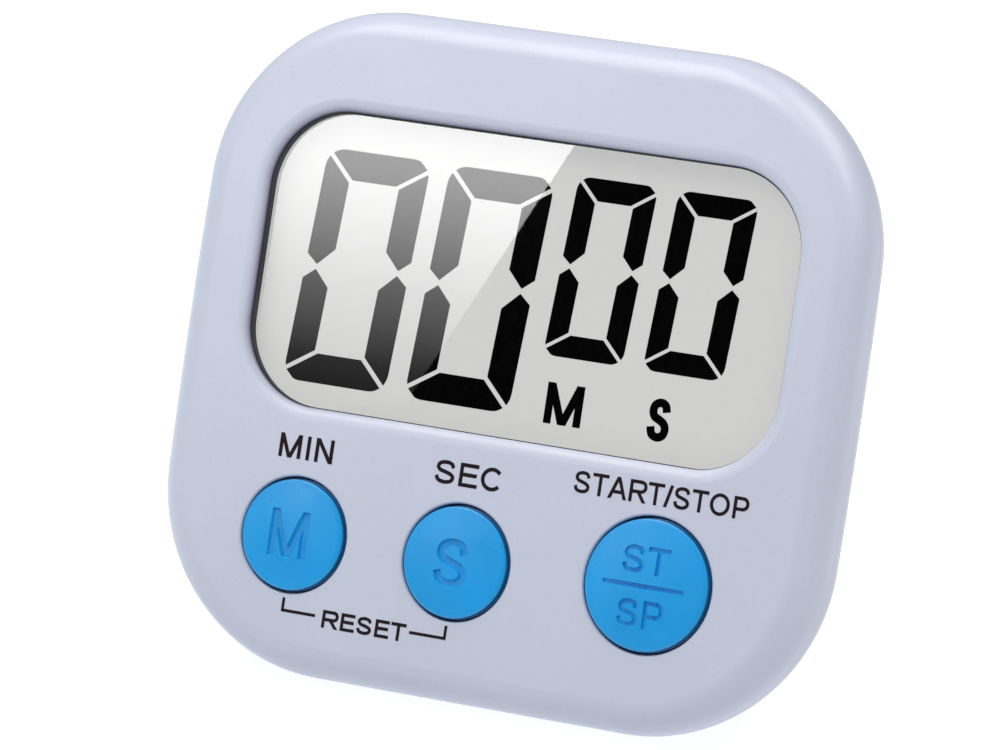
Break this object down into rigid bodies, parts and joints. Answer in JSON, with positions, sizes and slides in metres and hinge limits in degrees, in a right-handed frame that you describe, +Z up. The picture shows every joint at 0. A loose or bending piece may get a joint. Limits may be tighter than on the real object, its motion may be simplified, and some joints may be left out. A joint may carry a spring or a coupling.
{
  "type": "digital kitchen timer",
  "caption": "Square digital countdown timer that leans on a fold-out stand, with a wide display window, round press buttons and a battery door at the back.",
  "frame": {"origin": "bottom centre of the whole timer as it stands leaning back on its bottom edge and its open stand", "axes": "+Z up, +X to the right of a person who reads the display, the display faces -Y and 22 degrees upwards"},
  "size_m": [0.08, 0.0406, 0.069],
  "materials": {
    "case_plastic": "glossy pale lavender white moulded plastic",
    "button_plastic": "satin sky blue moulded plastic",
    "clear_lens": "clear glossy acrylic sheet",
    "lcd_film": "grey polarizing film",
    "lcd_glass": "clear thin glass",
    "reflector": "matt silver grey film",
    "frame_plastic": "natural white moulded plastic",
    "connector_rubber": "layered conductive rubber",
    "board_laminate": "green solder mask",
    "black_resin": "black potting resin",
    "switch_plastic": "black moulded plastic",
    "chip_ceramic": "sintered ceramic with tinned ends",
    "plated_steel": "bright zinc plated steel",
    "nickel": "nickel plated",
    "buzzer_brass": "thin rolled brass",
    "piezo_ceramic": "silvered piezo ceramic",
    "cell_jacket": "printed metal cell jacket",
    "red_insulation": "red wire insulation",
    "black_insulation": "black wire insulation"
  },
  "bodies": {
    "case": {"front_case": "case_plastic", "back_case": "case_plastic", "window_lens": "clear_lens", "lcd_polarizer": "lcd_film", "lcd_front_glass": "lcd_glass", "lcd_rear_glass": "lcd_glass", "lcd_reflector": "reflector", "lcd_frame": "frame_plastic", "lcd_connector": "connector_rubber", "circuit_board": "board_laminate", "board_screws": "plated_steel", "chip_blob": "black_resin", "timing_crystal": "nickel", "board_parts": "chip_ceramic", "switch_bases": "switch_plastic", "buzzer_disc": "buzzer_brass", "buzzer_crystal": "piezo_ceramic", "buzzer_leads": "red_insulation", "battery": "cell_jacket", "battery_spring": "nickel", "battery_plate": "nickel", "red_lead": "red_insulation", "black_lead": "black_insulation", "magnets": "nickel", "case_screws": "plated_steel"},
    "min_button": {"min_button": "button_plastic", "min_plunger": "switch_plastic"},
    "sec_button": {"sec_button": "button_plastic", "sec_plunger": "switch_plastic"},
    "start_button": {"start_button": "button_plastic", "start_plunger": "switch_plastic"},
    "battery_door": {"battery_door": "case_plastic"},
    "stand": {"stand": "case_plastic"}
  },
  "joints": [
    {"name": "min_press", "type": "slide", "parent": "case", "child": "min_button", "axis": [0, 0.9272, -0.3746], "range_m": [0, 0.0006], "stiffness_N_per_m": 400, "springref_m": -0.002},
    {"name": "sec_press", "type": "slide", "parent": "case", "child": "sec_button", "axis": [0, 0.9272, -0.3746], "range_m": [0, 0.0006], "stiffness_N_per_m": 400, "springref_m": -0.002},
    {"name": "start_press", "type": "slide", "parent": "case", "child": "start_button", "axis": [0, 0.9272, -0.3746], "range_m": [0, 0.0006], "stiffness_N_per_m": 400, "springref_m": -0.002},
    {"name": "door_open", "type": "hinge", "parent": "case", "child": "battery_door", "pos_m": [-0.02785, 0.0152, 0.04475], "axis": [0, 0.3746, 0.9272], "range_deg": [0, 60]},
    {"name": "stand_fold", "type": "hinge", "parent": "case", "child": "stand", "pos_m": [0, 0.00881, 0.03321], "axis": [1, 0, 0], "range_deg": [-32, 0]}
  ]
}
